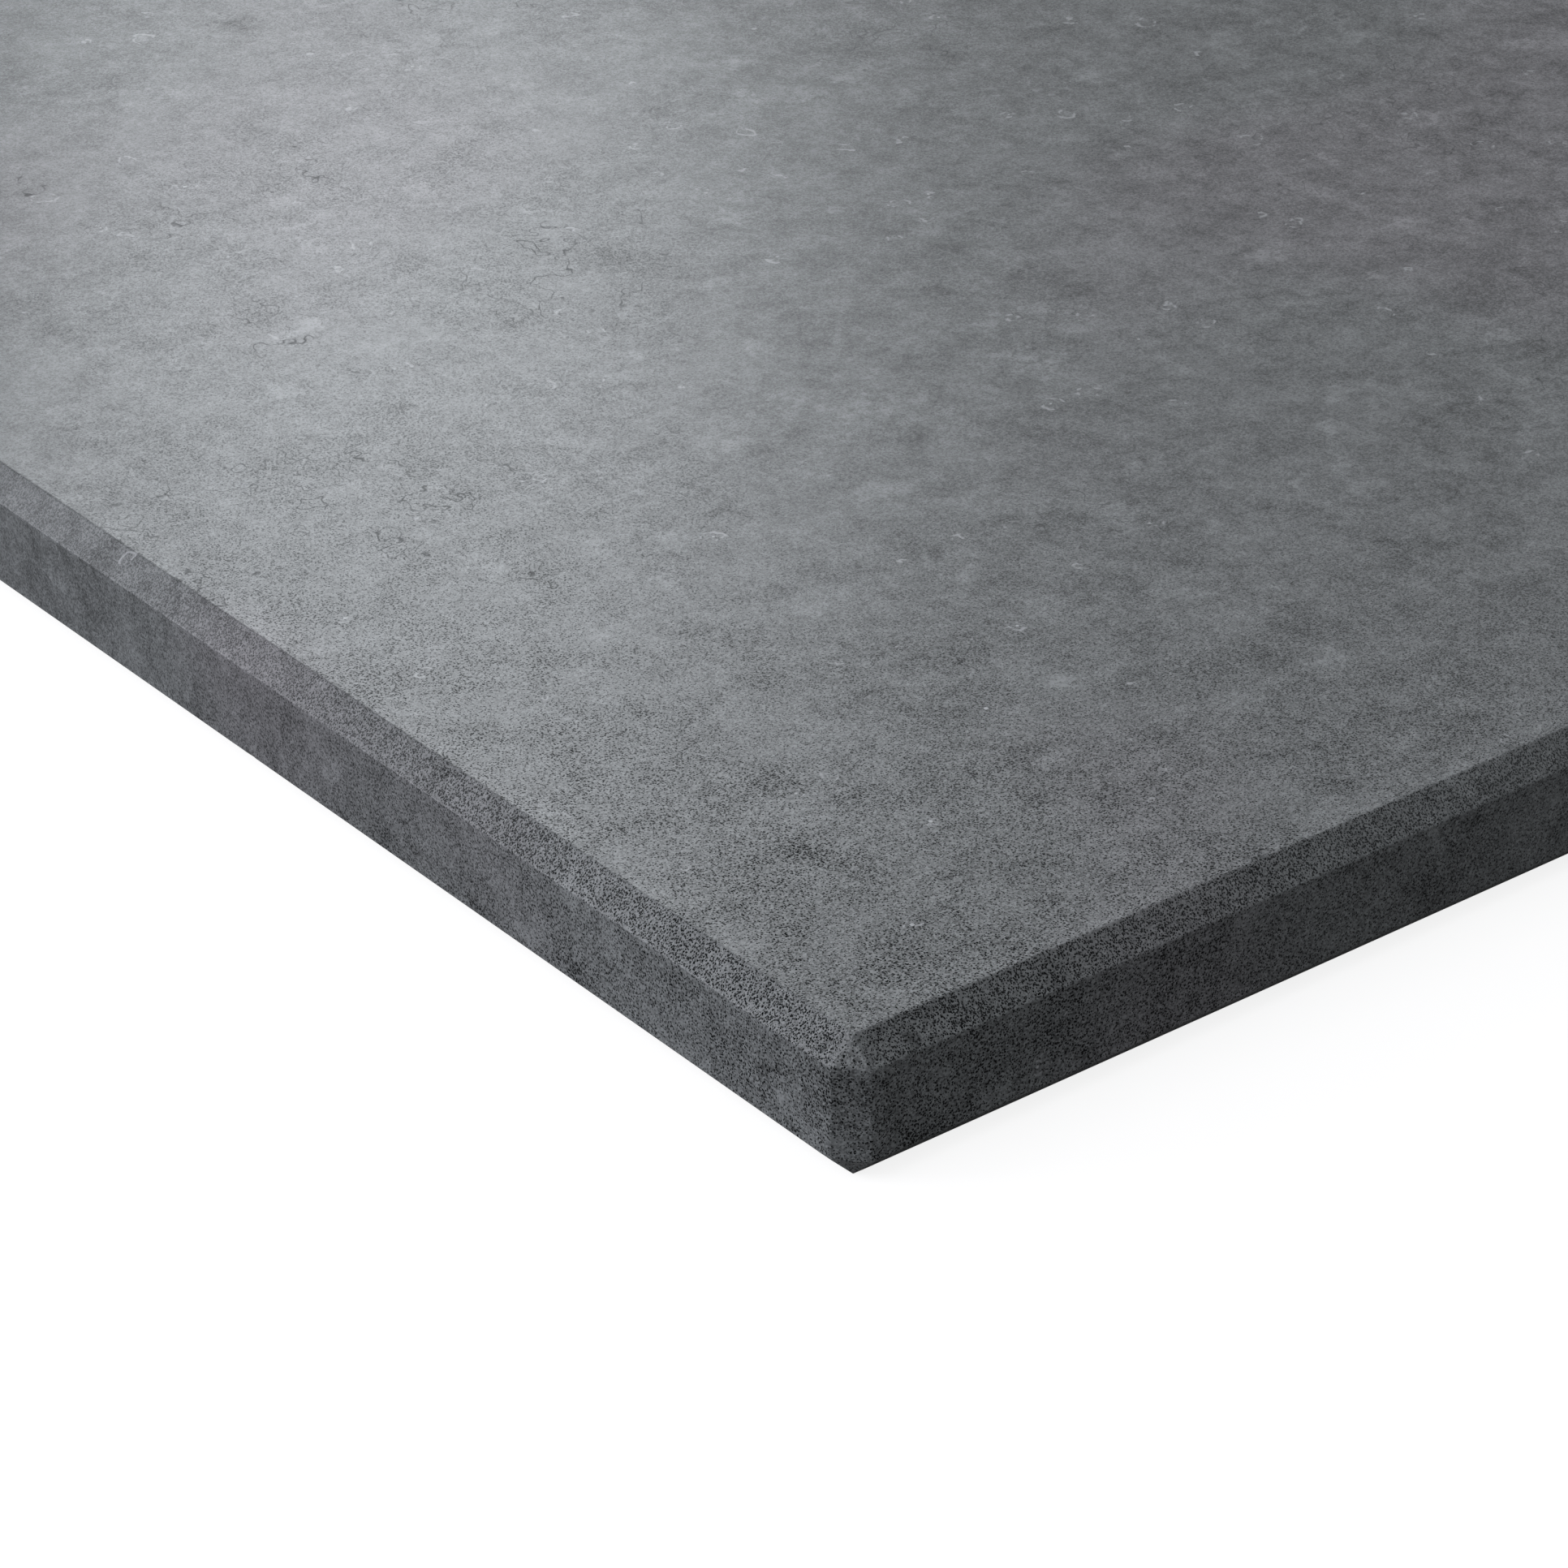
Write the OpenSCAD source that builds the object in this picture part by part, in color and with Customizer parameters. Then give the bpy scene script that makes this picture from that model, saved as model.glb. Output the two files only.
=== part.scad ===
// Granite slab for leatherwork: one piece of stone, sawn to size and honed, with the
// same flat 45 degree chamfer on all twelve edges and a small triangle on each corner.
// Millimetres. The origin is the middle of the underside, and +Z points to the working face.

/* [Slab] */
// Width of the slab, along X
slab_width = 400; // [200:1:800]
// Length of the slab, along Y
slab_length = 400; // [200:1:800]
// Thickness of the stone, from the underside to the working face
slab_thickness = 20; // [12:0.5:40]

/* [Edges] */
// Leg of the chamfer: how far it reaches in from an edge, along either face
chamfer = 3.5; // [0.5:0.25:5.5]

/* [Hidden] */

slab_size = [slab_width, slab_length, slab_thickness];

// A corner's triangle joins the three points where two chamfers run out on one face.
// Its plane leans equally to the three faces and would cut the sawn block's edges at
// this distance from the sharp corner.
facet_reach = 2 * chamfer;
// How far a cutter stands out past the stone
overcut = 1;

// Outline of a sawn face, centred, with a chamfer across each of its four corners
module chamfered_outline(across, along) {
    x = across / 2;
    y = along / 2;
    polygon([
        [x, y - chamfer], [x - chamfer, y],
        [chamfer - x, y], [-x, y - chamfer],
        [-x, chamfer - y], [chamfer - x, -y],
        [x - chamfer, -y], [x, chamfer - y]
    ]);
}

// Block with all twelve edges chamfered: what three crossing prisms have in common.
// Each prism chamfers the four edges that run along it.
module chamfered_block(size) {
    intersection() {
        linear_extrude(size.z, center = true)
            chamfered_outline(size.x, size.y);
        rotate([90, 0, 90])
            linear_extrude(size.x, center = true)
                chamfered_outline(size.y, size.z);
        rotate([90, 0, 0])
            linear_extrude(size.y, center = true)
                chamfered_outline(size.x, size.z);
    }
}

// Cutter for the corner where all three axes are negative: a tetrahedron with its tip
// outside the stone. The plane of its slanting face holds the corner's triangle.
module corner_cutter(size) {
    tip = -overcut;
    foot = facet_reach + 2 * overcut;
    translate(-size / 2)
        polyhedron(
            points = [[tip, tip, tip], [foot, tip, tip], [tip, foot, tip], [tip, tip, foot]],
            faces = [[0, 1, 2], [0, 3, 1], [0, 2, 3], [1, 3, 2]]
        );
}

// Repeats a corner's work on all eight corners of a block centred on the origin
module on_every_corner() {
    for (flip_x = [0, 1], flip_y = [0, 1], flip_z = [0, 1])
        mirror([flip_x, 0, 0]) mirror([0, flip_y, 0]) mirror([0, 0, flip_z])
            children();
}

module granite_slab() {
    color("dimgray")
        translate([0, 0, slab_thickness / 2])
            difference() {
                chamfered_block(slab_size);
                on_every_corner() corner_cutter(slab_size);
            }
}

granite_slab();
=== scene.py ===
"""Granite slab for leatherwork: a square of honed dark grey stone, chamfered on every edge.

The stone's own surface is worked out here from the frame's sizes: the sawn planes, the
eased arrises between them and the small nicks that handling leaves. One procedural stone
runs right through it, and shows coarser where the chamfers were ground.
"""
import itertools
import math
from typing import NamedTuple

import bmesh
import bpy
import numpy as np
from mathutils import Matrix, Vector


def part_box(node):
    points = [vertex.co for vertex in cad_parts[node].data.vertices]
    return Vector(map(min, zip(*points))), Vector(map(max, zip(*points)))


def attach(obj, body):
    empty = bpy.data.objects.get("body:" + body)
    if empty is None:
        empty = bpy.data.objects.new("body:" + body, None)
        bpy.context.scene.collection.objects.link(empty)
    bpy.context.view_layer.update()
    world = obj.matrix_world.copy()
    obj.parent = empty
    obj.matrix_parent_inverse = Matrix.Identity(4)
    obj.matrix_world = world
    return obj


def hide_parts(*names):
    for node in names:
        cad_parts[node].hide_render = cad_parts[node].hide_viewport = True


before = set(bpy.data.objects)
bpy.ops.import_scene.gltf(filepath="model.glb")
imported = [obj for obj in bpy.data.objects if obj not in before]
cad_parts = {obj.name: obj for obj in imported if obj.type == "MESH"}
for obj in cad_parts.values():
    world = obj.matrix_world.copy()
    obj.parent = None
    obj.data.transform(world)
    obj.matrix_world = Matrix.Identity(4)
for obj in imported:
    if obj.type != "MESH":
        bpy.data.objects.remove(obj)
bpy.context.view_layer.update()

MM = 0.001


# ---------------------------------------------------------------- sizes from the frame

# How close to the top a point of the frame's mesh lies to belong to the top face
TOP_TOLERANCE = 0.01 * MM


def chamfer_leg(node, high):
    """How far the node's top face stops short of its side: the leg of the edge chamfer."""
    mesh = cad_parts[node].data
    corners = np.empty(len(mesh.vertices) * 3)
    mesh.vertices.foreach_get("co", corners)
    corners = corners.reshape(-1, 3)
    top = corners[corners[:, 2] > high[2] - TOP_TOLERANCE]
    return high[0] - top[:, 0].max()


LOW, HIGH = (np.array(corner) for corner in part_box("granite_slab"))
CENTRE = (LOW + HIGH) / 2
HALF = (HIGH - LOW) / 2
CHAMFER = chamfer_leg("granite_slab", HIGH)

# The plan's corners in half sizes, in order round it, and the way along the side after each
PLAN_CORNERS = np.array([(-1, -1), (1, -1), (1, 1), (-1, 1)])
PLAN_WAYS = np.array([(1, 0), (0, 1), (-1, 0), (0, -1)])

# Inset and height, from the stone's centre, of each side's four arrises, from the top down
ARRISES = [(CHAMFER, HALF[2]), (0, HALF[2] - CHAMFER), (0, CHAMFER - HALF[2]), (CHAMFER, -HALF[2])]


# ---------------------------------------------------------------- the stone's surface

# How wide an arris is eased, as the honer's last light pass leaves it, and in how many steps
# the points are brought onto the eased surface
ARRIS_SOFTNESS = 0.04 * MM
NEWTON_STEPS = 4

# How coarsely each kind of plane was ground, from 0, honed, to 1, and how softly they blend
LONG_CHAMFER_GROUND = 1.0
CORNER_TRIANGLE_GROUND = 0.20
UPRIGHT_CHAMFER_GROUND = 0.10
HONED = 0.0
GROUND_BLEND = 0.07 * MM

# Nicks on the arrises, from handling. Half of them are on the top face's arris, number 0
NICK_SEED = 11
NICKS_PER_SIDE = 9
NICK_ALONG = (0.04, 0.96)           # shares of the side
NICK_ARRISES = [0, 0, 0, 1, 2, 3]
NICK_RADIUS = (0.35 * MM, 1.1 * MM)
NICK_SHRINK = (0.4, 1)              # a second share, so that small ones are common
NICK_LEAN = 0.4                     # how much one side is squeezed and the other stretched
NICK_DEPTH = 0.22                   # share of the radius

# Rows of points beside each arris, and on the faces inside the chamfer
ARRIS_ROWS = np.array([0.03, 0.08, 0.14, 0.22, 0.34, 0.55]) * MM
FACE_ROWS = np.array([4 * MM, 1.5 * MM])

# Columns of points along the sides, across each corner and, in radii, across each nick
COLUMN_SPACING = 2.2 * MM
LEAST_SPACING = 0.05 * MM
CORNER_COLUMNS = np.array([0, 0.012, 0.03, 0.06, 0.11, 0.3, 0.5, 0.7, 0.89, 0.94, 0.97, 0.988, 1])
NICK_COLUMNS = np.linspace(-1.1, 1.1, 13)

# Points this close are one, and edges this short are taken out
WELD_REACH = 0.012 * MM
SLIVER_REACH = 0.002 * MM


class Planes(NamedTuple):
    """The planes that bound the stone: their sign triples, unit normals and distances."""
    signs: np.ndarray
    normals: np.ndarray
    distances: np.ndarray


class Nick(NamedTuple):
    """A nick: which side it is on, how far along, on which of ARRISES, and its radius."""
    side: int
    along: float
    arris: int
    radius: float


def sawn_planes():
    """The 26 planes that bound the stone, with distances from its centre.

    Each sign triple but (0, 0, 0) gives one plane: one sign is a face, two an edge's
    chamfer, three a corner's triangle. With m signs, the normal is the triple over
    sqrt(m), and the distance is the half sizes that it points along, added up, less
    (m - 1) chamfer legs, over sqrt(m).
    """
    signs = np.array([s for s in itertools.product((-1, 0, 1), repeat=3) if any(s)], float)
    count = np.abs(signs).sum(axis=1)
    normals = signs / np.sqrt(count)[:, None]
    distances = (np.abs(signs) @ HALF - (count - 1) * CHAMFER) / np.sqrt(count)
    return Planes(signs, normals, distances)


def soft_height(points, planes, softness):
    """Soft maximum of the points' heights above the planes, its slope, and each plane's share.

    A height is g = n . p - d. The soft maximum is s ln(sum of exp(g / s)): zero on a
    face, and a little above the sharp stone's zero where two planes meet. A plane's share
    is its exp(g / s) over that sum, and the slope is the normals, weighted by their shares.
    """
    g = points @ planes.normals.T - planes.distances
    peak = g.max(axis=1, keepdims=True)
    weight = np.exp((g - peak) / softness)
    total = weight.sum(axis=1, keepdims=True)
    share = weight / total
    return (peak + softness * np.log(total))[:, 0], share @ planes.normals, share


def ease_arrises(points, planes):
    """Slides each point down the soft maximum's slope until it is zero, by Newton's method."""
    for _ in range(NEWTON_STEPS):
        height, slope, _ = soft_height(points, planes, ARRIS_SOFTNESS)
        points = points - (height / (slope ** 2).sum(axis=1))[:, None] * slope
    return points


def ground_at(points, planes):
    """How coarsely the stone was ground at each point: the planes' own values, by their shares."""
    count = np.abs(planes.signs).sum(axis=1)
    upright = planes.signs[:, 2] == 0
    kinds = [count == 1, (count == 2) & upright, count == 3]
    by_plane = np.select(kinds, [HONED, UPRIGHT_CHAMFER_GROUND, CORNER_TRIANGLE_GROUND],
                         LONG_CHAMFER_GROUND)
    _, _, share = soft_height(points, planes, GROUND_BLEND)
    return share @ by_plane


def section_stations():
    """(inset, height) stations up the edge, from the underside over the side to the top face.

    They crowd round the four arrises, where the profile turns, and are sparse between. The
    lower half is worked out, up to the middle of the side, and the upper half mirrors it.
    """
    slope = ARRIS_ROWS * math.sqrt(0.5)
    onto_face = np.r_[CHAMFER + FACE_ROWS, CHAMFER + ARRIS_ROWS[::-1], CHAMFER]
    down_chamfer = np.r_[CHAMFER - slope, CHAMFER / 2, slope[::-1], 0.0]
    up_side = np.r_[CHAMFER + ARRIS_ROWS, HALF[2]]
    inset = np.r_[onto_face, down_chamfer, np.zeros(len(up_side))]
    height = np.r_[np.zeros(len(onto_face)), CHAMFER - down_chamfer, up_side]
    inset = np.r_[inset, inset[-2::-1]]
    height = np.r_[height, 2 * HALF[2] - height[-2::-1]]
    return inset, height - HALF[2]


def side_columns(side, nicks):
    """Shares along a side where its columns are: even, with a crowd of closer ones at each nick."""
    length = 2 * HALF[side % 2]
    even = np.linspace(0, 1, int(length / COLUMN_SPACING))
    crowds = [nick.along + NICK_COLUMNS * nick.radius / length for nick in nicks if nick.side == side]
    columns = np.unique(np.concatenate([even] + crowds).clip(0, 1))
    keep = np.r_[True, np.diff(columns) > LEAST_SPACING / length]
    keep[-1] = True
    return columns[keep]


def sawn_grid(nicks):
    """Grid of points on the sharp stone: one row per section station, columns round the plan.

    A row's plan is the rectangle drawn in by its inset, with its corners cut off by what
    is left of the chamfer there, the larger of (leg - inset) and 0. A point lies between
    the two ends of its side, or of its corner's cut, at its column's share.
    """
    inset, height = section_stations()
    reach = HALF[None, :2] - inset[:, None]
    cut = np.maximum(CHAMFER - inset, 0)[:, None]
    columns = []
    for side in range(4):
        following = (side + 1) % 4
        start = PLAN_CORNERS[side] * reach + cut * PLAN_WAYS[side]
        end = PLAN_CORNERS[following] * reach - cut * PLAN_WAYS[side]
        turn = PLAN_CORNERS[following] * reach + cut * PLAN_WAYS[following]
        share = side_columns(side, nicks)[None, :, None]
        columns.append(start[:, None] * (1 - share) + end[:, None] * share)
        share = CORNER_COLUMNS[None, 1:-1, None]
        columns.append(end[:, None] * (1 - share) + turn[:, None] * share)
    plan = np.concatenate(columns, axis=1)
    rise = np.broadcast_to(height[:, None, None], plan.shape[:2] + (1,))
    return np.concatenate([plan, rise], axis=2)


def grid_faces(rows, columns):
    """Quads between neighbouring rows, closed round the plan, and one polygon on each face."""
    r, c = np.meshgrid(np.arange(rows - 1), np.arange(columns), indexing="ij")
    here = r * columns + c
    right = r * columns + (c + 1) % columns
    quads = np.stack([here, right, right + columns, here + columns], axis=-1).reshape(-1, 4)
    under = np.arange(columns)[::-1]
    top = (rows - 1) * columns + np.arange(columns)
    return quads.tolist() + [under.tolist(), top.tolist()]


def scatter_nicks(rng):
    """The nicks, at random along every side."""
    nicks = []
    for side in range(4):
        for _ in range(NICKS_PER_SIDE):
            along = rng.uniform(*NICK_ALONG)
            arris = rng.choice(NICK_ARRISES)
            radius = rng.uniform(*NICK_RADIUS) * rng.uniform(*NICK_SHRINK)
            nicks.append(Nick(side, along, arris, radius))
    return nicks


def nick_centre(nick):
    """Where a nick's centre lies: on its arris, between the side's ends at its share along."""
    inset, height = ARRISES[nick.arris]
    reach = HALF[:2] - inset
    start = PLAN_CORNERS[nick.side] * reach
    end = PLAN_CORNERS[(nick.side + 1) % 4] * reach
    return np.r_[start * (1 - nick.along) + end * nick.along, height]


def press_nicks(points, nicks, planes, rng):
    """Presses each nick in: a shallow lopsided bowl, depth (1 - (r / radius)^2) of the deepest."""
    _, outward, _ = soft_height(points, planes, ARRIS_SOFTNESS)
    for nick in nicks:
        away = points - nick_centre(nick)
        lean = rng.uniform(-NICK_LEAN, NICK_LEAN, 3)
        away = away * (1 + lean * np.sign(away))
        bowl = 1 - (away ** 2).sum(axis=1) / nick.radius ** 2
        near = bowl > 0
        points[near] -= outward[near] * (NICK_DEPTH * nick.radius * bowl[near])[:, None]
    return points


def stone_mesh():
    """The whole stone: a profile carried round the plan, eased and nicked, and both faces.

    Its "ground" attribute says how coarsely the stone was ground at each point.
    """
    rng = np.random.default_rng(NICK_SEED)
    planes = sawn_planes()
    nicks = scatter_nicks(rng)
    grid = sawn_grid(nicks)
    rows, columns = grid.shape[:2]
    points = ease_arrises(grid.reshape(-1, 3), planes)
    points = press_nicks(points, nicks, planes, rng)

    mesh = bpy.data.meshes.new("stone")
    mesh.from_pydata((points + CENTRE).tolist(), [], grid_faces(rows, columns))
    ground = mesh.attributes.new("ground", "FLOAT", "POINT")
    ground.data.foreach_set("value", ground_at(points, planes).astype(np.float32))
    weld(mesh)
    return mesh


def weld(mesh):
    """Joins the points that meet at the corners, turns the faces outwards and shades them smooth."""
    bm = bmesh.new()
    bm.from_mesh(mesh)
    bmesh.ops.remove_doubles(bm, verts=bm.verts, dist=WELD_REACH)
    bmesh.ops.dissolve_degenerate(bm, edges=bm.edges, dist=SLIVER_REACH)
    bmesh.ops.recalc_face_normals(bm, faces=bm.faces)
    bm.to_mesh(mesh)
    bm.free()
    mesh.shade_smooth()


# ---------------------------------------------------------------- wiring of nodes

# How much of a mark's soft edge lies outside its reach
EDGE_OUTSIDE = 0.2


class Wiring:
    """A small vocabulary for a node tree, in the order that a finish is thought of."""

    def __init__(self, tree):
        self.tree = tree
        self.tree.nodes.clear()

    def put(self, value, socket):
        """Joins another node's output to a socket, or sets the socket's own value."""
        if isinstance(value, bpy.types.NodeSocket):
            self.tree.links.new(value, socket)
        else:
            socket.default_value = value

    def add(self, kind, inputs=None, **settings):
        """Adds a node with its settings, and fills its inputs."""
        node = self.tree.nodes.new(kind)
        for key, value in settings.items():
            setattr(node, key, value)
        for key, value in (inputs or {}).items():
            self.put(value, node.inputs[key])
        return node

    def math(self, operation, a, b=0.0, c=0.0):
        """One sum of numbers or outputs."""
        return self.add("ShaderNodeMath", {0: a, 1: b, 2: c}, operation=operation).outputs[0]

    def vector(self, operation, a, b=(0.0, 0.0, 0.0)):
        """The node for one sum of vectors."""
        return self.add("ShaderNodeVectorMath", {0: a, 1: b}, operation=operation)

    def swing(self, value, amount, onto=0.0):
        """Turns a noise that lies round 0.5 into a swing of plus or minus the amount."""
        twice = self.math("MULTIPLY_ADD", value, 2.0, -1.0)
        return self.math("MULTIPLY_ADD", twice, amount, onto)

    def rise(self, value, amount, onto):
        """Adds the amount where the value is 1, and less of it where the value is less."""
        return self.math("MULTIPLY_ADD", value, amount, onto)

    def line(self, value, at_zero, at_one):
        """A straight line: at_zero where the value is 0, at_one where it is 1."""
        return self.math("MULTIPLY_ADD", value, at_one - at_zero, at_zero)

    def span(self, value, low, high, to_low=0.0, to_high=1.0):
        """Eases a value from (low, high) to (to_low, to_high), smooth at both ends."""
        ends = {"Value": value, "From Min": low, "From Max": high,
                "To Min": to_low, "To Max": to_high}
        return self.add("ShaderNodeMapRange", ends, interpolation_type="SMOOTHSTEP").outputs[0]

    def blend(self, share, a, b):
        """Colour a where the share is 0, and colour b where it is 1.

        The node's sockets for colours come after those for numbers and vectors.
        """
        node = self.add("ShaderNodeMix", data_type="RGBA")
        for socket, value in zip((node.inputs[0], node.inputs[6], node.inputs[7]), (share, a, b)):
            self.put(value, socket)
        return node.outputs[2]

    def noise(self, place, size, detail=2.0, roughness=0.5, distortion=0.0):
        """Cloudy noise whose coarsest lumps are about the given size, in metres."""
        inputs = {"Vector": place, "Scale": 1 / size, "Detail": detail,
                  "Roughness": roughness, "Distortion": distortion}
        return self.add("ShaderNodeTexNoise", inputs).outputs[0]

    def cells(self, place, size):
        """Scattered points about one size apart.

        The distance to the nearest, over the size, and that point's three random numbers.
        """
        node = self.add("ShaderNodeTexVoronoi", {"Vector": place, "Scale": 1 / size})
        colour = self.add("ShaderNodeSeparateColor", {"Color": node.outputs["Color"]})
        return node.outputs["Distance"], *colour.outputs[:3]

    def mark(self, distance, reach, soft):
        """A soft-edged mark round a point: 1 well inside its reach, and 0 outside it."""
        inside = self.math("SUBTRACT", reach, distance)
        return self.span(inside, -EDGE_OUTSIDE * soft, (1 - EDGE_OUTSIDE) * soft)


# ---------------------------------------------------------------- the stone's finish

# The stone lies between the deep colour and a pale one, which drifts between green and plum
GRANITE_DEEP = (0.0, 0.0, 0.0, 1.0)
GRANITE_GREEN = (0.2130, 0.2250, 0.2290, 1.0)
GRANITE_PLUM = (0.2230, 0.2195, 0.2310, 1.0)
# Near black, painted in the pits and hairlines as the shade in their hollows
PIT_SHADE_BLACK = (0.003, 0.003, 0.0032, 1.0)
FLECK_WHITE = (0.36, 0.37, 0.38, 1.0)

# The patterns that more than one part of the finish reads: how big their lumps are
MOTTLE_SIZE = 9 * MM
PEEL_SIZE = 2.6 * MM
CRYSTAL_SIZE = 0.26 * MM


class Granite(Wiring):
    """The stone's wiring, with the patterns that more than one part of its finish reads."""

    def __init__(self, tree):
        super().__init__(tree)
        self.place = self.add("ShaderNodeTexCoord").outputs["Object"]
        self.ground = self.add("ShaderNodeAttribute", attribute_name="ground").outputs["Fac"]
        self.grain = open_grain(self)
        self.bent = bent_place(self)
        self.rim = rim_highlight_and_sheen(self)
        self.mottle = self.noise(self.place, MOTTLE_SIZE, detail=4.0, roughness=0.62, distortion=0.2)
        self.peel = self.noise(self.place, PEEL_SIZE, roughness=0.65)
        _, self.crystal, _, _ = self.cells(self.place, CRYSTAL_SIZE)
        self.blotches = blotches(self)
        self.sharp_pits, self.shallow_pits = open_pits(self)


def honed_granite():
    """Dark granite, honed: clouds, mottle, blotches, crystals, open pits, pale flecks and curls."""
    material = bpy.data.materials.new("slab_granite")
    material.use_nodes = True
    g = Granite(material.node_tree)
    surface = g.add("ShaderNodeBsdfPrincipled", {
        "Base Color": stone_colour(g), "Roughness": stone_roughness(g),
        "Specular IOR Level": stone_sheen(g), "Normal": stone_relief(g)})
    g.add("ShaderNodeOutputMaterial", {"Surface": surface.outputs[0]})
    return material


# Where a coarse noise turns the pale stone from green to plum
HUE_SIZE = 110 * MM
HUE_TURN = (0.47, 0.63)


def stone_colour(g):
    """The stone's tone between its deep and pale colours, with the pits' painted shade and the flecks
    laid over it.
    """
    drift = g.noise(g.place, HUE_SIZE, detail=1.0)
    pale = g.blend(g.span(drift, *HUE_TURN), GRANITE_GREEN, GRANITE_PLUM)
    stone = g.blend(stone_tone(g), GRANITE_DEEP, pale)
    # Painted shade: the pits and hairlines are darkened towards near black
    stone = g.blend(g.math("MAXIMUM", g.sharp_pits, g.shallow_pits), stone, PIT_SHADE_BLACK)
    flecks = g.math("MAXIMUM", white_specks(g), pale_curls(g))
    return g.blend(flecks, stone, FLECK_WHITE)


# The tone, from 0 for the deep colour to 1 for the pale one, and how far each pattern takes it
PLAIN_TONE = 0.60
CLOUD_SIZE = 60 * MM
CLOUD_TONE = 0.10
MOTTLE_TONE = (0.36, 0.22)      # closed grain, open grain
PEEL_TONE = (0.42, 0.16)        # closed grain, open grain
# The rim's paler tone is a painted highlight just inside the top's arrises
RIM_HIGHLIGHT_TONE = 0.10
GROUND_TONE = 0.10
CRYSTAL_TONE = (0.34, 0.20)     # honed, ground
LEAST_CRYSTAL_TONE = 0.04


def stone_tone(g):
    """A plain sum: the plain tone, each pattern's swing, the rim's painted highlight, and what
    grinding adds.
    """
    clouds = g.noise(g.place, CLOUD_SIZE, distortion=0.5)
    crystal_tone = g.rise(g.line(g.ground, *CRYSTAL_TONE), g.grain, LEAST_CRYSTAL_TONE)
    tone = g.swing(clouds, CLOUD_TONE, PLAIN_TONE)
    tone = g.swing(g.mottle, g.line(g.grain, *MOTTLE_TONE), tone)
    tone = g.swing(g.peel, g.line(g.grain, *PEEL_TONE), tone)
    tone = g.math("ADD", tone, g.blotches)
    # Painted highlight: the top is paler just inside its arrises
    tone = g.rise(g.rim, RIM_HIGHLIGHT_TONE, tone)
    tone = g.rise(g.ground, GROUND_TONE, tone)
    return g.swing(g.crystal, crystal_tone, tone)


# The roughness, and how far each pattern takes it
PLAIN_ROUGHNESS = 0.32
MOTTLE_ROUGHNESS = 0.03
GROUND_ROUGHNESS = 0.10
PIT_ROUGHNESS = 0.28


def stone_roughness(g):
    """Rougher where the stone was ground, and roughest in its pits."""
    rough = g.swing(g.mottle, MOTTLE_ROUGHNESS, PLAIN_ROUGHNESS)
    rough = g.rise(g.ground, GROUND_ROUGHNESS, rough)
    return g.rise(g.sharp_pits, PIT_ROUGHNESS, rough)


# The specular level, and how far each pattern takes it
PLAIN_SHEEN = 0.31
MOTTLE_SHEEN = 0.09
PEEL_SHEEN = 0.04
BLOTCH_SHEEN = 0.10
RIM_SHEEN = 0.06
PIT_SHEEN = -0.31


def stone_sheen(g):
    """How much the stone mirrors: a low sheen, none in the pits and more on the rim just inside the
    top's arrises.
    """
    sheen = g.swing(g.mottle, MOTTLE_SHEEN, PLAIN_SHEEN)
    sheen = g.swing(g.peel, PEEL_SHEEN, sheen)
    sheen = g.rise(g.blotches, BLOTCH_SHEEN, sheen)
    sheen = g.rise(g.rim, RIM_SHEEN, sheen)
    return g.rise(g.sharp_pits, PIT_SHEEN, sheen)


# How deep a pit is felt, and how strongly
RELIEF_DEPTH = 0.02 * MM
RELIEF_STRENGTH = (0.2, 0.4)    # honed, ground


def stone_relief(g):
    """Pits sink and crystals stand up a little, more on the ground chamfers and in open grain."""
    height = g.rise(g.sharp_pits, -1.0, g.crystal)
    strength = g.math("MULTIPLY", g.line(g.ground, *RELIEF_STRENGTH), g.grain)
    bump = g.add("ShaderNodeBump", {"Height": height, "Distance": RELIEF_DEPTH, "Strength": strength})
    return bump.outputs[0]


# A band across the slab has a closer grain: the way across it, how far from the slab's middle
# the grain starts to open and is fully open, and how open it is inside the band
ACROSS_THE_BAND = (0.62, 0.79, 0.0)
GRAIN_CLOSED_AT = 0.100
GRAIN_OPEN_AT = 0.272
CLOSED_GRAIN = 0.35


def open_grain(g):
    """How open the grain is: one at two opposite corners, closing up in the band between them.

    It goes by how far a place is from the vertical plane through the slab's middle that
    the band lies along.
    """
    across = g.vector("DOT_PRODUCT", g.place, ACROSS_THE_BAND).outputs["Value"]
    return g.span(g.math("ABSOLUTE", across), GRAIN_CLOSED_AT, GRAIN_OPEN_AT, CLOSED_GRAIN, 1.0)


# Over what length the bent place wanders, and how far apart its extremes are
BEND_SIZE = 3 * MM
BEND_REACH = 3.0 * MM


def bent_place(g):
    """The place pushed about by a coarse noise, so that what is drawn on it wanders."""
    bend = g.add("ShaderNodeTexNoise", {"Vector": g.place, "Scale": 1 / BEND_SIZE, "Detail": 2.0})
    shift = g.vector("SUBTRACT", bend.outputs["Color"], (0.5, 0.5, 0.5)).outputs[0]
    shift = g.add("ShaderNodeVectorMath", {0: shift, "Scale": BEND_REACH}, operation="SCALE")
    return g.vector("ADD", g.place, shift.outputs[0]).outputs[0]


# How wide the rim is, where the top is painted paler as a highlight and given more sheen,
# how long its lengths are, and where a noise breaks them
RIM_WIDTH = 8.0 * MM
RIM_LENGTH = 14 * MM
RIM_BREAK = (0.40, 0.60)


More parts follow.
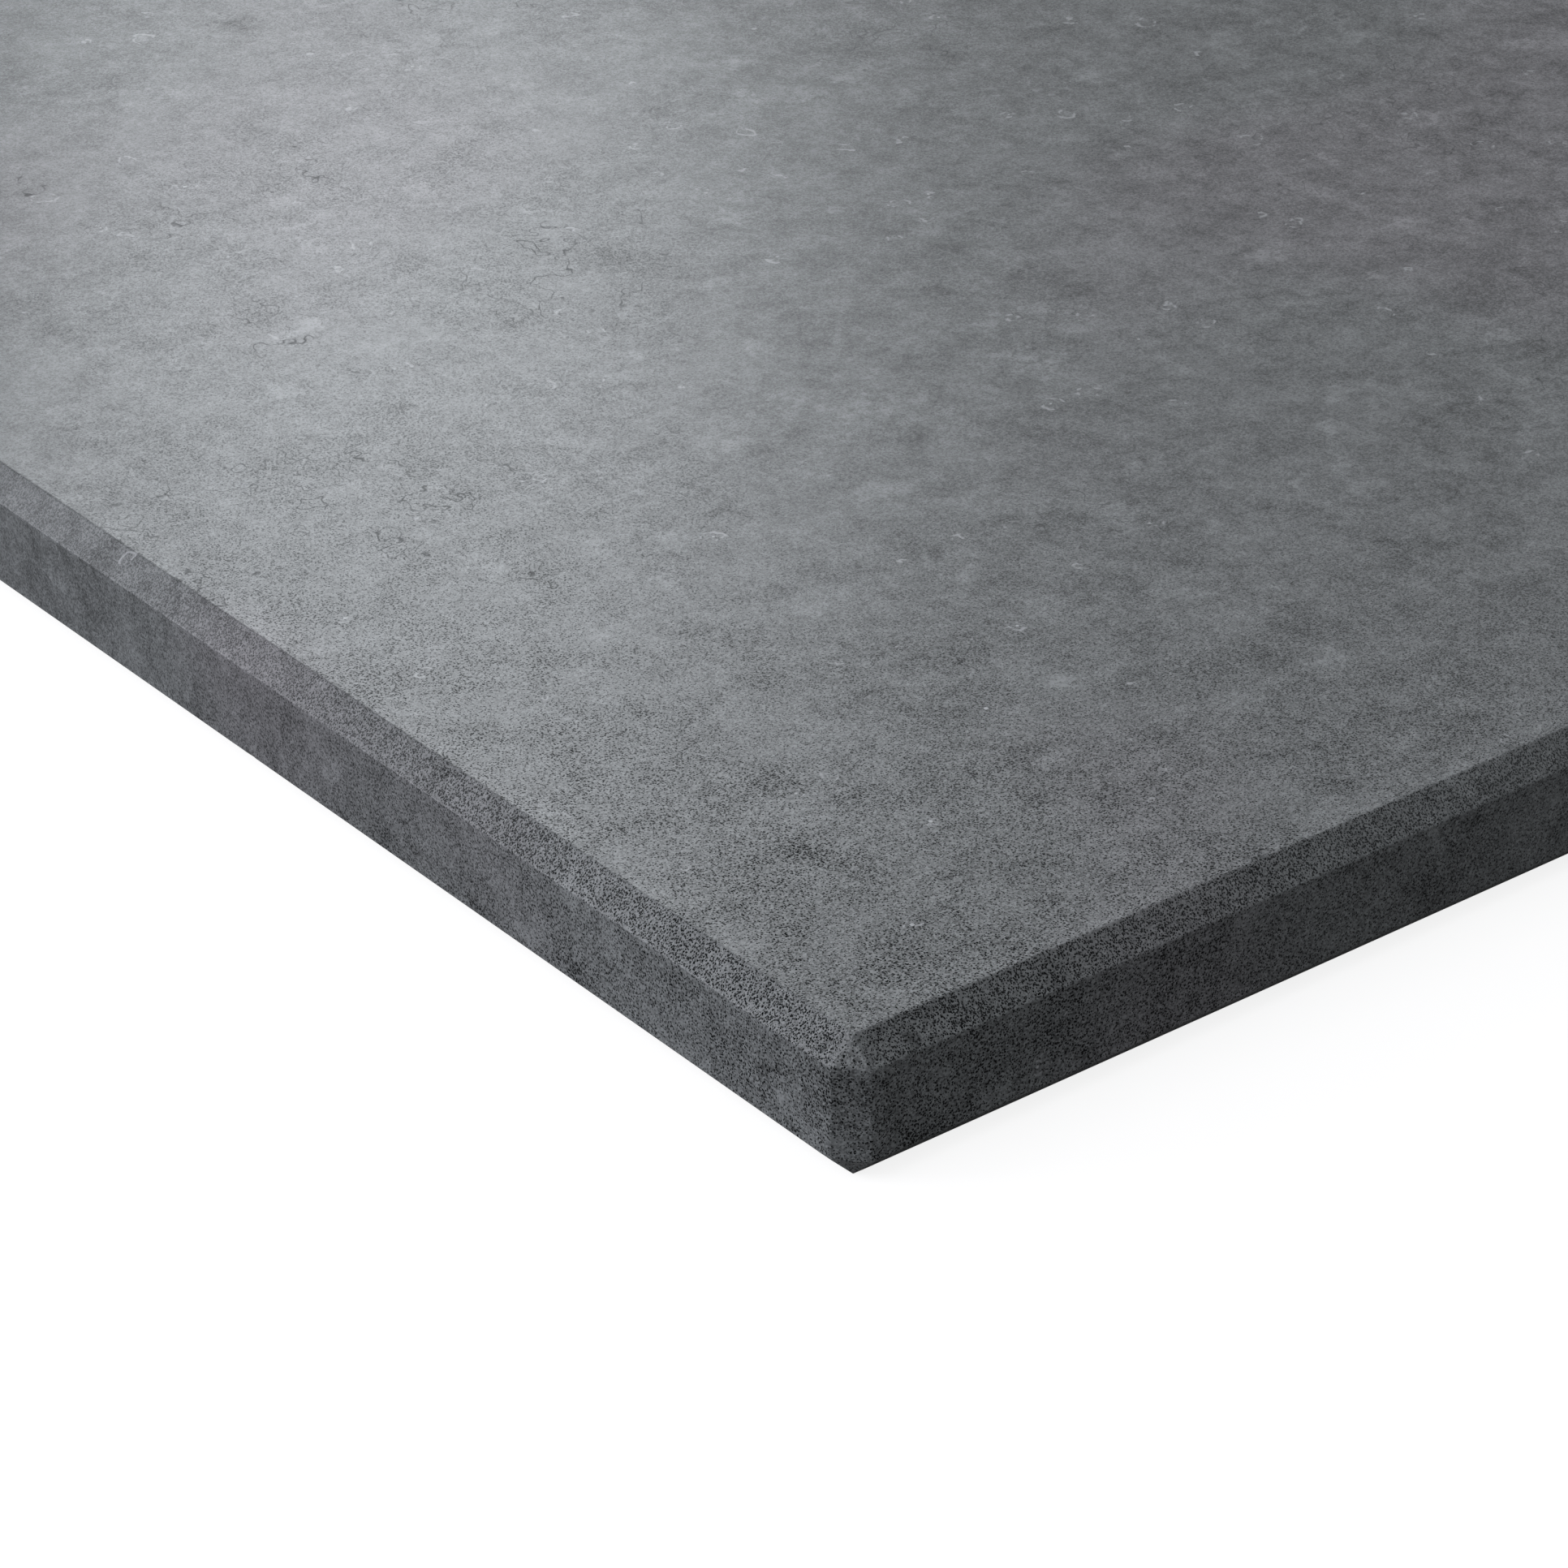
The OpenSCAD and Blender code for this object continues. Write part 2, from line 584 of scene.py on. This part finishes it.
def rim_highlight_and_sheen(g):
    """Paler stone, a painted highlight, and more sheen on the top just inside its arrises, in broken
    lengths.

    How far inside is the slab's half width, less the chamfer, less the larger of |x| and
    |y|, because the slab is square.
    """
    flat = g.vector("MULTIPLY", g.place, (1.0, 1.0, 0.0)).outputs[0]
    x, y, _ = g.add("ShaderNodeSeparateXYZ", {0: g.vector("ABSOLUTE", flat).outputs[0]}).outputs
    inside = g.math("SUBTRACT", HALF[0] - CHAMFER, g.math("MAXIMUM", x, y))
    rim = g.math("MULTIPLY", g.span(inside, RIM_WIDTH, 0.0), g.math("GREATER_THAN", inside, 0.0))
    return g.math("MULTIPLY", rim, g.span(g.noise(g.place, RIM_LENGTH), *RIM_BREAK))


# What each blotch adds to the tone lies between these, and a fine noise frays its edge
BLOTCH_TONE = (-0.16, 0.26)
BLOTCH_FRAY_SIZE = 2.2 * MM


def blotches(g):
    """Soft patches, most of them paler than the stone: small ones crowded, large ones sparse."""
    small = blotch_layer(g, spacing=8 * MM, reach=0.14, more=0.32, fray=0.70, soft=0.44)
    large = blotch_layer(g, spacing=30 * MM, reach=0.08, more=0.20, fray=0.32, soft=0.20)
    return g.math("ADD", large, small)


def blotch_layer(g, spacing, reach, more, fray, soft):
    """One size of blotch: a frayed mark round each scattered point, with a tone of its own.

    All but the first are shares of the spacing. A mark's reach is the given one and up to
    so much more, and the fray swings it.
    """
    distance, pick, size, _ = g.cells(g.bent, spacing)
    reach = g.rise(size, more, reach)
    reach = g.swing(g.noise(g.bent, BLOTCH_FRAY_SIZE, roughness=0.7), fray, reach)
    return g.math("MULTIPLY", g.mark(distance, reach, soft), g.line(pick, *BLOTCH_TONE))


# Pits: how far apart their points are, and their least reach and soft edge as shares of that
HONED_PIT_SPACING = 0.34 * MM
HONED_PIT_REACH = 0.255
GROUND_PIT_SPACING = 0.31 * MM
GROUND_PIT_REACH = (-0.13, 0.32)    # honed, ground
SHALLOW_PIT_SPACING = 0.70 * MM
SHALLOW_PIT_REACH = 0.34
PIT_EDGE = 0.05
SHALLOW_PIT_EDGE = 0.20

# What the patterns do to a pit's reach, as shares of the spacing, how far that counts, what the
# grinding takes off, and how much more reach the biggest pit has
DRIFT_SIZE = 30 * MM
DRIFT_REACH = 0.12
MOTTLE_REACH = -0.16
BLOTCH_REACH = -0.4
PATTERNS_COUNT = (1.0, 0.3)         # honed, ground
GROUND_REACH = -0.05
PIT_MORE_REACH = 0.22

# How dark the painted shade is in the faintest and the deepest pit, and in a shallow one in
# closed and open grain
PIT_DARKNESS = (0.80, 1.0)
SHALLOW_PIT_DARKNESS = (0.60, 0.0)


def open_pits(g):
    """Pits where mica fell out, painted black as their hollows' shade, in drifts: sharp ones, and
    shallow ones in closed grain.

    Sharp pits are small, and crowded where the stone was ground. The hairlines are cut as
    sharply, so they go with them, dark with the same painted shade. Shallow pits only darken the
    stone, with painted shade.
    """
    drifts = g.noise(g.place, DRIFT_SIZE, detail=3.0)
    crowd = g.swing(g.mottle, MOTTLE_REACH)
    crowd = g.swing(drifts, DRIFT_REACH, crowd)
    crowd = g.rise(g.blotches, BLOTCH_REACH, crowd)
    crowd = g.math("MULTIPLY", crowd, g.line(g.ground, *PATTERNS_COUNT))
    crowd = g.rise(g.ground, GROUND_REACH, crowd)

    honed = pit_layer(g, HONED_PIT_SPACING, g.math("ADD", crowd, HONED_PIT_REACH), PIT_EDGE)
    rough = pit_layer(g, GROUND_PIT_SPACING, g.line(g.ground, *GROUND_PIT_REACH), PIT_EDGE)
    sharp = g.math("MULTIPLY", g.math("MAXIMUM", honed, rough), g.grain)
    reach = g.math("ADD", crowd, SHALLOW_PIT_REACH)
    shallow = pit_layer(g, SHALLOW_PIT_SPACING, reach, SHALLOW_PIT_EDGE)
    shallow = g.math("MULTIPLY", shallow, g.line(g.grain, *SHALLOW_PIT_DARKNESS))
    return g.math("MAXIMUM", sharp, hairlines(g)), shallow


def pit_layer(g, spacing, reach, soft):
    """One size of pit: a mark round each scattered point, some of them a fair bit bigger."""
    distance, size, depth, _ = g.cells(g.place, spacing)
    reach = g.rise(size, PIT_MORE_REACH, reach)
    return g.math("MULTIPLY", g.mark(distance, reach, soft), g.line(depth, *PIT_DARKNESS))


# Hairlines: the size of the noise that they follow, and how far from its middle they fade out.
# A second noise picks where they show
HAIRLINE_SIZE = 16 * MM
HAIRLINE_FADE = 0.006
HAIRLINE_PATCH_SIZE = 38 * MM
HAIRLINE_PATCH = (0.56, 0.64)
HAIRLINE_DARKNESS = 0.45


def hairlines(g):
    """Fine hairlines that wander, painted dark as the shade in their cuts: where a cloudy noise
    crosses one half, here and there.
    """
    course = g.noise(g.place, HAIRLINE_SIZE, detail=3.0, roughness=0.6)
    line = g.span(g.math("ABSOLUTE", g.math("SUBTRACT", course, 0.5)), HAIRLINE_FADE, 0.0)
    here = g.span(g.noise(g.place, HAIRLINE_PATCH_SIZE, detail=1.0), *HAIRLINE_PATCH)
    return g.math("MULTIPLY", g.math("MULTIPLY", line, here), HAIRLINE_DARKNESS)


# Specks: how far apart their points are, as shares of that the reach of the smallest and the
# largest and their soft edge, and what share of the points have one
SPECK_SPACING = 9 * MM
SPECK_REACH = (0.02, 0.05)
SPECK_EDGE = 0.012
SPECK_SHARE = 0.6


def white_specks(g):
    """Sparse white specks, one at most round each scattered point."""
    distance, pick, size, _ = g.cells(g.place, SPECK_SPACING)
    inside = g.math("SUBTRACT", g.line(size, *SPECK_REACH), distance)
    return g.math("MULTIPLY", g.span(inside, 0.0, SPECK_EDGE), g.math("LESS_THAN", pick, SPECK_SHARE))


# Curls: how far apart their points are, as shares of that the radius of the smallest and the
# largest and half the width of their line, and what share of the points have one
CURL_SPACING = 9 * MM
CURL_RADIUS = (0.05, 0.13)
CURL_LINE = 0.030
CURL_SHARE = 0.55
CURL_TIGHTENING = (0.4, 1.0)        # closed grain, where they are larger, and open grain

# The noise that frays and breaks a curl's line, how pale the line is, and its faint fill
CURL_FRAY_SIZE = 1.8 * MM
CURL_FRAY = (0.51, 0.57)
CURL_PALENESS = 0.65
CURL_FILL_EDGE = (-0.02, 0.08)
CURL_FILL_PALENESS = 0.08


def pale_curls(g):
    """Short bright curls: rings whose line is frayed and broken, with a faint fill."""
    distance, pick, size, _ = g.cells(g.bent, CURL_SPACING)
    distance = g.math("MULTIPLY", distance, g.line(g.grain, *CURL_TIGHTENING))
    inside = g.math("SUBTRACT", g.line(size, *CURL_RADIUS), distance)
    ring = g.span(g.math("ABSOLUTE", inside), CURL_LINE, 0.0)
    ring = g.math("MULTIPLY", ring, g.span(g.noise(g.place, CURL_FRAY_SIZE), *CURL_FRAY))
    fill = g.span(inside, *CURL_FILL_EDGE, 0.0, CURL_FILL_PALENESS)
    curl = g.rise(ring, CURL_PALENESS, fill)
    return g.math("MULTIPLY", curl, g.math("LESS_THAN", pick, CURL_SHARE))


# ---------------------------------------------------------------- camera

# Where the camera stands, in slab thicknesses from the near lower corner of the sawn block
CAMERA_FROM_CORNER = (-17.496, -21.743, 18.960)
CAMERA_HEADING = -38.054     # degrees; 0 looks along +Y, 90 along -X
CAMERA_DIP = 29.986          # degrees below the horizon
CAMERA_ROLL = -0.301         # degrees
CAMERA_LENS = 129.04         # mm, on the sensor below
CAMERA_SENSOR = 36.0         # mm
CAMERA_CLIP = (0.01, 100.0)


def make_camera():
    """A camera that looks down past the near corner, along the slab's diagonal."""
    data = bpy.data.cameras.new("camera")
    camera = bpy.data.objects.new("camera", data)
    bpy.context.scene.collection.objects.link(camera)
    data.lens = CAMERA_LENS
    data.sensor_width = CAMERA_SENSOR
    data.clip_start, data.clip_end = CAMERA_CLIP
    heading, dip, roll = (math.radians(a) for a in (CAMERA_HEADING, CAMERA_DIP, CAMERA_ROLL))
    ahead = Vector((-math.sin(heading) * math.cos(dip), math.cos(heading) * math.cos(dip),
                    -math.sin(dip)))
    level = ahead.cross(Vector((0, 0, 1))).normalized()
    upright = level.cross(ahead)
    right = level * math.cos(roll) + upright * math.sin(roll)
    up = upright * math.cos(roll) - level * math.sin(roll)
    turn = Matrix((right, up, -ahead)).transposed().to_4x4()
    thickness = 2 * HALF[2]
    turn.translation = Vector(LOW) + Vector(CAMERA_FROM_CORNER) * thickness
    camera.matrix_world = turn
    bpy.context.scene.camera = camera


# ---------------------------------------------------------------- light and floor

# Metres from the middle of the slab's underside to the middle of each softbox
SOFTBOX_DISTANCE = 1.6

# The lamps' two whites, both a little cool, and the white of the backdrop
TEAL_WHITE = (0.956, 1.0, 1.038)
VIOLET_WHITE = (0.990, 0.994, 1.060)
PLAIN_WHITE = (1.0, 1.0, 1.0, 1.0)

# How bright the world is to the stone, where 1 is white
AMBIENT_LIGHT = 0.22

# The floor: half its width, its paint, how bright its glow is round the slab, how far away the
# glow starts to rise and reaches white, and how much of it shows in reflections
FLOOR_REACH = 6.0
FLOOR_GREY = (0.25, 0.25, 0.25, 1.0)
FLOOR_GLOW = 0.85
FLOOR_GLOW_RISE = (0.6, 2.0)
FLOOR_IN_REFLECTIONS = 0.05


def softbox(name, azimuth, elevation, wide, tall, brightness, colour):
    """A square-on softbox that faces the middle of the stone.

    Its place is given by the direction that it is seen in, in degrees from +X towards +Y
    and up from the floor, its size by the angles that it fills, and its light by how
    bright its face is, where 1 is a white card in full light.
    """
    a, e = math.radians(azimuth), math.radians(elevation)
    towards = Vector((math.cos(a) * math.cos(e), math.sin(a) * math.cos(e), math.sin(e)))
    data = bpy.data.lights.new(name, "AREA")
    data.shape = "RECTANGLE"
    data.size = 2 * SOFTBOX_DISTANCE * math.tan(math.radians(wide) / 2)
    data.size_y = 2 * SOFTBOX_DISTANCE * math.tan(math.radians(tall) / 2)
    data.energy = math.pi * data.size * data.size_y * brightness
    data.color = colour
    box = bpy.data.objects.new(name, data)
    bpy.context.scene.collection.objects.link(box)
    across = Vector((-math.sin(a), math.cos(a), 0))
    turn = Matrix((across, towards.cross(across), towards)).transposed().to_4x4()
    turn.translation = towards * SOFTBOX_DISTANCE
    box.matrix_world = turn
    box.visible_camera = False


def light_studio():
    """A key low behind the stone, walls of light round it, and a small fill in front."""
    softbox("key_softbox", azimuth=61, elevation=29, wide=11, tall=14,
            brightness=6.9, colour=TEAL_WHITE)
    softbox("key_spill", azimuth=66, elevation=30, wide=27, tall=19,
            brightness=1.2, colour=TEAL_WHITE)
    softbox("back_softbox", azimuth=35, elevation=33, wide=26, tall=18,
            brightness=1.0, colour=TEAL_WHITE)
    softbox("left_back_softbox", azimuth=125, elevation=17, wide=26, tall=24,
            brightness=0.8, colour=VIOLET_WHITE)
    softbox("left_softbox", azimuth=145, elevation=17, wide=38, tall=24,
            brightness=5.0, colour=VIOLET_WHITE)
    softbox("high_left_softbox", azimuth=183, elevation=40, wide=42, tall=34,
            brightness=2.9, colour=VIOLET_WHITE)
    softbox("right_softbox", azimuth=335, elevation=44, wide=34, tall=28,
            brightness=1.0, colour=TEAL_WHITE)
    softbox("front_softbox", azimuth=219, elevation=36, wide=12, tall=12,
            brightness=3.5, colour=TEAL_WHITE)


def studio_world():
    """A backdrop that is seen white, and that gives the stone a little even light."""
    world = bpy.data.worlds.new("studio")
    world.use_nodes = True
    g = Wiring(world.node_tree)
    path = g.add("ShaderNodeLightPath").outputs
    seen = g.math("MAXIMUM", path["Is Camera Ray"], path["Is Transmission Ray"])
    strength = g.math("MAXIMUM", seen, AMBIENT_LIGHT)
    paint = g.add("ShaderNodeBackground", {"Color": PLAIN_WHITE, "Strength": strength})
    g.add("ShaderNodeOutputWorld", {"Surface": paint.outputs[0]})
    bpy.context.scene.world = world


def studio_floor():
    """Pale floor paint: lit and shaded by the lamps, and lifted to white where it is seen.

    What the lamps give it is diffuse. Light paths that look straight at it also get a
    plain glow, so that it shows white with the stone's soft shadow, and reflections get a
    little of that glow.
    """
    material = bpy.data.materials.new("studio_floor")
    material.use_nodes = True
    g = Wiring(material.node_tree)
    path = g.add("ShaderNodeLightPath").outputs
    seen = g.math("MAXIMUM", path["Is Camera Ray"], path["Is Transmission Ray"])
    seen = g.rise(path["Is Glossy Ray"], FLOOR_IN_REFLECTIONS, seen)
    place = g.add("ShaderNodeTexCoord").outputs["Object"]
    away = g.vector("LENGTH", place).outputs["Value"]
    strength = g.math("MULTIPLY", seen, g.span(away, *FLOOR_GLOW_RISE, FLOOR_GLOW, 1.0))
    paint = g.add("ShaderNodeBsdfDiffuse", {"Color": FLOOR_GREY})
    glow = g.add("ShaderNodeEmission", {"Color": PLAIN_WHITE, "Strength": strength})
    both = g.add("ShaderNodeAddShader", {0: paint.outputs[0], 1: glow.outputs[0]})
    g.add("ShaderNodeOutputMaterial", {"Surface": both.outputs[0]})
    return material


# ---------------------------------------------------------------- pieces

def lay_stone():
    """The granite slab itself, in place of the frame's plain solid."""
    stone = bpy.data.objects.new("stone", stone_mesh())
    bpy.context.scene.collection.objects.link(stone)
    stone.data.materials.append(honed_granite())
    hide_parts("granite_slab")
    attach(stone, "root")


def lay_floor():
    """A wide flat floor at the height of the slab's underside."""
    corners = [(x * FLOOR_REACH, y * FLOOR_REACH, LOW[2]) for x, y in PLAN_CORNERS]
    mesh = bpy.data.meshes.new("floor")
    mesh.from_pydata(corners, [], [(0, 1, 2, 3)])
    mesh.materials.append(studio_floor())
    floor = bpy.data.objects.new("floor", mesh)
    bpy.context.scene.collection.objects.link(floor)


make_camera()
light_studio()
studio_world()
lay_stone()
lay_floor()
bpy.context.scene.view_settings.view_transform = "Standard"
